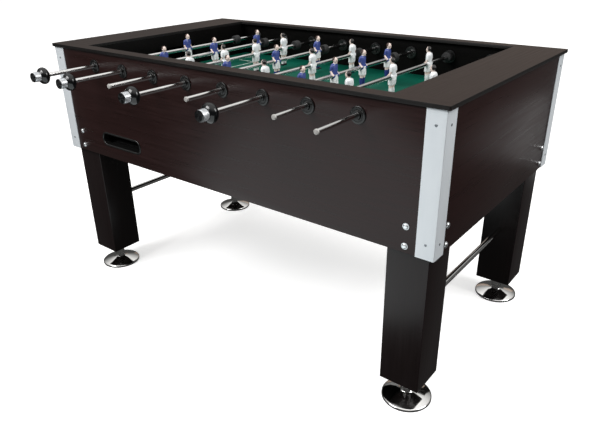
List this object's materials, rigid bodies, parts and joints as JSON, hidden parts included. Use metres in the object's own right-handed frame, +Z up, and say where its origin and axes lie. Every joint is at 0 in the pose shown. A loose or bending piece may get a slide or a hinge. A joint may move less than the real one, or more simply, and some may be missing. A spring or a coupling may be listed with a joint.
{
  "type": "foosball table",
  "caption": "Full-size foosball table: laminated cabinet with aluminium corners on four square legs, sliding and spinning player rods, ball returns.",
  "frame": {"origin": "on the floor under the middle of the table", "axes": "+X along the table from the left goal to the right goal, +Y from the front side (blue handles, front ball slot) to the back side, +Z up"},
  "size_m": [1.47, 1.2565, 0.86],
  "materials": {
    "dark_laminate": "satin dark brown laminate on fibreboard",
    "brown_laminate": "satin brown laminate with black edge band",
    "black_lining": "matt black laminate",
    "green_field": "satin green printed field",
    "aluminium": "satin anodised",
    "chrome": "polished chrome plate",
    "black_rubber": "matt moulded rubber",
    "black_plastic": "glossy moulded plastic"
  },
  "bodies": {
    "cabinet": {"front_panel": "dark_laminate", "back_panel": "dark_laminate", "left_end_panel": "dark_laminate", "right_end_panel": "dark_laminate", "front_rail": "brown_laminate", "back_rail": "brown_laminate", "left_rail": "brown_laminate", "right_rail": "brown_laminate", "playfield": "green_field", "left_goal_wall": "black_lining", "right_goal_wall": "black_lining", "bottom_panel": "black_lining", "corner_trim_front_left": "aluminium", "corner_trim_front_right": "aluminium", "corner_trim_back_left": "aluminium", "corner_trim_back_right": "aluminium", "leg_front_left": "dark_laminate", "leg_front_right": "dark_laminate", "leg_back_left": "dark_laminate", "leg_back_right": "dark_laminate", "leg_brace_left": "chrome", "leg_brace_right": "chrome", "ball_return_front": "black_plastic", "ball_return_back": "black_plastic", "back_bumper_7": "black_rubber"},
    "rod_1_bumpers": {"front_bumper_1": "black_rubber", "back_bumper_1": "black_rubber"},
    "rod_1": {"player_rod_1": "chrome", "handle_1": "black_plastic"},
    "rod_2_bumpers": {"front_bumper_2": "black_rubber", "back_bumper_2": "black_rubber"},
    "rod_2": {"player_rod_2": "chrome", "handle_2": "black_plastic"},
    "rod_3_bumpers": {"front_bumper_3": "black_rubber", "back_bumper_3": "black_rubber"},
    "rod_3": {"player_rod_3": "chrome", "handle_3": "black_plastic"},
    "rod_4_bumpers": {"front_bumper_4": "black_rubber", "back_bumper_4": "black_rubber"},
    "rod_4": {"player_rod_4": "chrome", "handle_4": "black_plastic"},
    "rod_5_bumpers": {"front_bumper_5": "black_rubber", "back_bumper_5": "black_rubber"},
    "rod_5": {"player_rod_5": "chrome", "handle_5": "black_plastic"},
    "rod_6_bumpers": {"front_bumper_6": "black_rubber", "back_bumper_6": "black_rubber"},
    "rod_6": {"player_rod_6": "chrome", "handle_6": "black_plastic"},
    "rod_7_bumpers": {"front_bumper_7": "black_rubber"},
    "rod_7": {"player_rod_7": "chrome", "handle_7": "black_plastic"},
    "rod_8_bumpers": {"front_bumper_8": "black_rubber", "back_bumper_8": "black_rubber"},
    "rod_8": {"player_rod_8": "chrome", "handle_8": "black_plastic"},
    "foot_front_left": {"foot_front_left": "chrome"},
    "foot_front_right": {"foot_front_right": "chrome"},
    "foot_back_left": {"foot_back_left": "chrome"},
    "foot_back_right": {"foot_back_right": "chrome"}
  },
  "joints": [
    {"name": "rod_1_slide", "type": "slide", "parent": "cabinet", "child": "rod_1_bumpers", "axis": [0, 1, 0], "range_m": [-0.1115, 0.1135]},
    {"name": "rod_1_spin", "type": "hinge", "parent": "rod_1_bumpers", "child": "rod_1", "pos_m": [-0.50925, -0.001, 0.805], "axis": [0, 1, 0], "continuous": true},
    {"name": "rod_2_slide", "type": "slide", "parent": "cabinet", "child": "rod_2_bumpers", "axis": [0, 1, 0], "range_m": [-0.0975, 0.1075]},
    {"name": "rod_2_spin", "type": "hinge", "parent": "rod_2_bumpers", "child": "rod_2", "pos_m": [-0.36375, -0.005, 0.805], "axis": [0, 1, 0], "continuous": true},
    {"name": "rod_3_slide", "type": "slide", "parent": "cabinet", "child": "rod_3_bumpers", "axis": [0, 1, 0], "range_m": [-0.0785, 0.0885]},
    {"name": "rod_3_spin", "type": "hinge", "parent": "rod_3_bumpers", "child": "rod_3", "pos_m": [-0.21825, -0.024, 0.805], "axis": [0, 1, 0], "continuous": true},
    {"name": "rod_4_slide", "type": "slide", "parent": "cabinet", "child": "rod_4_bumpers", "axis": [0, 1, 0], "range_m": [-0.0975, 0.1075]},
    {"name": "rod_4_spin", "type": "hinge", "parent": "rod_4_bumpers", "child": "rod_4", "pos_m": [-0.07275, -0.005, 0.805], "axis": [0, 1, 0], "continuous": true},
    {"name": "rod_5_slide", "type": "slide", "parent": "cabinet", "child": "rod_5_bumpers", "axis": [0, 1, 0], "range_m": [-0.1025, 0.1025]},
    {"name": "rod_5_spin", "type": "hinge", "parent": "rod_5_bumpers", "child": "rod_5", "pos_m": [0.07275, 0, 0.805], "axis": [0, 1, 0], "continuous": true},
    {"name": "rod_6_slide", "type": "slide", "parent": "cabinet", "child": "rod_6_bumpers", "axis": [0, 1, 0], "range_m": [-0.0955, 0.1095]},
    {"name": "rod_6_spin", "type": "hinge", "parent": "rod_6_bumpers", "child": "rod_6", "pos_m": [0.21825, -0.007, 0.805], "axis": [0, 1, 0], "continuous": true},
    {"name": "rod_7_slide", "type": "slide", "parent": "cabinet", "child": "rod_7_bumpers", "axis": [0, 1, 0], "range_m": [-0.105, 0.1107]},
    {"name": "rod_7_spin", "type": "hinge", "parent": "rod_7_bumpers", "child": "rod_7", "pos_m": [0.36375, 0.0025, 0.805], "axis": [0, 1, 0], "continuous": true},
    {"name": "rod_8_slide", "type": "slide", "parent": "cabinet", "child": "rod_8_bumpers", "axis": [0, 1, 0], "range_m": [-0.0805, 0.1445]},
    {"name": "rod_8_spin", "type": "hinge", "parent": "rod_8_bumpers", "child": "rod_8", "pos_m": [0.50925, -0.032, 0.805], "axis": [0, 1, 0], "continuous": true},
    {"name": "foot_front_left_height", "type": "slide", "parent": "cabinet", "child": "foot_front_left", "axis": [0, 0, 1], "range_m": [-0.015, 0]},
    {"name": "foot_front_right_height", "type": "slide", "parent": "cabinet", "child": "foot_front_right", "axis": [0, 0, 1], "range_m": [-0.015, 0]},
    {"name": "foot_back_left_height", "type": "slide", "parent": "cabinet", "child": "foot_back_left", "axis": [0, 0, 1], "range_m": [-0.015, 0]},
    {"name": "foot_back_right_height", "type": "slide", "parent": "cabinet", "child": "foot_back_right", "axis": [0, 0, 1], "range_m": [-0.015, 0]}
  ]
}
